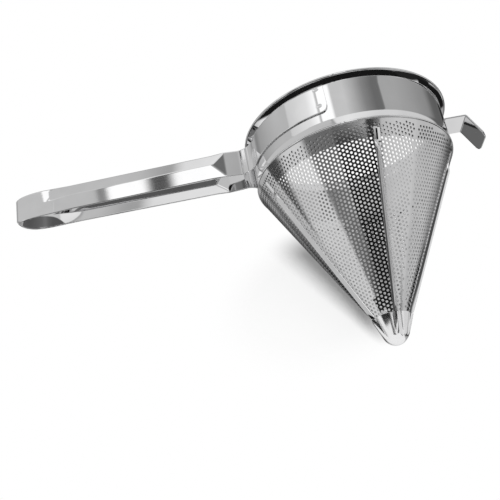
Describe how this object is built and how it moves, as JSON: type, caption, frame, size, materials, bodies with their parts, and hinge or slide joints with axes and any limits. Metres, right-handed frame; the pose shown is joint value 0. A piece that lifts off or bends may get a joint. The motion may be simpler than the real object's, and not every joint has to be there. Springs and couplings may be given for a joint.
{
  "type": "chinois strainer",
  "caption": "Conical perforated steel strainer with a flared rim, raised reinforcing bars, a flat hairpin handle and a hook that rests on a pot's rim.",
  "frame": {"origin": "middle of the mouth, level with the top of the rolled rim, on the cone's axis", "axes": "+Z along the cone's axis, out of the mouth; +X towards the pot hook; the handle runs along -X"},
  "size_m": [0.4605, 0.2, 0.2227],
  "materials": {
    "collar": "polished sheet steel, mirror finish with faint turning marks",
    "inner_skirt": "satin sheet steel",
    "perforated_cone": "polished perforated sheet steel",
    "tip_cap": "polished pressed steel",
    "reinforcing_bars": "polished steel bar",
    "handle": "polished steel strip",
    "pot_hook": "polished steel strip"
  },
  "bodies": {
    "root": {"collar": "collar", "inner_skirt": "inner_skirt", "perforated_cone": "perforated_cone", "tip_cap": "tip_cap", "handle": "handle", "pot_hook": "pot_hook", "reinforcing_bar_1": "reinforcing_bars", "reinforcing_bar_2": "reinforcing_bars", "reinforcing_bar_3": "reinforcing_bars", "reinforcing_bar_4": "reinforcing_bars", "reinforcing_bar_5": "reinforcing_bars"}
  },
  "joints": []
}
